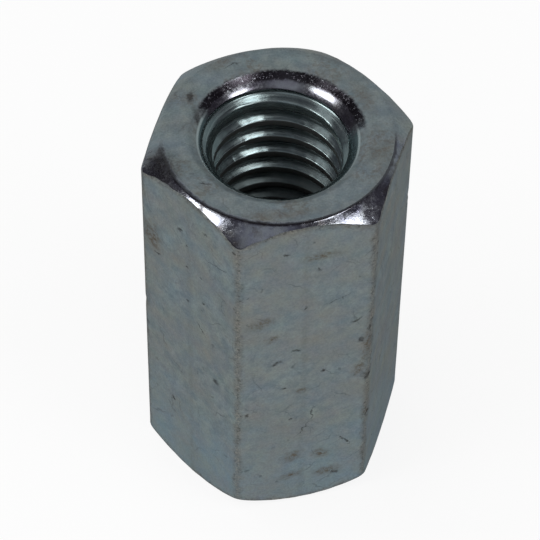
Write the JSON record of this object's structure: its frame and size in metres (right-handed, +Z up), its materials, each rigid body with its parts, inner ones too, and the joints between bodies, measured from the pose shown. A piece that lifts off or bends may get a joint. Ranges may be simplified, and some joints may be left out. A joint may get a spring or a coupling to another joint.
{
  "type": "coupling nut",
  "caption": "Long hexagonal nut, threaded right through, that joins two threaded rods end to end. Turned chamfers and countersinks at both ends, bright zinc finish.",
  "frame": {"origin": "middle of the lower end face, on the axis of the bore", "axes": "+Z up the bore, +X through one vertical edge of the hexagon, -Y square out of one flat"},
  "size_m": [0.0146, 0.0128, 0.024],
  "materials": {
    "zinc_plated_steel": "bright zinc plating gone satin, bluish grey with faint brown stains, shiny on the turned chamfers and in the thread"
  },
  "bodies": {
    "root": {"coupling_nut": "zinc_plated_steel"}
  },
  "joints": []
}
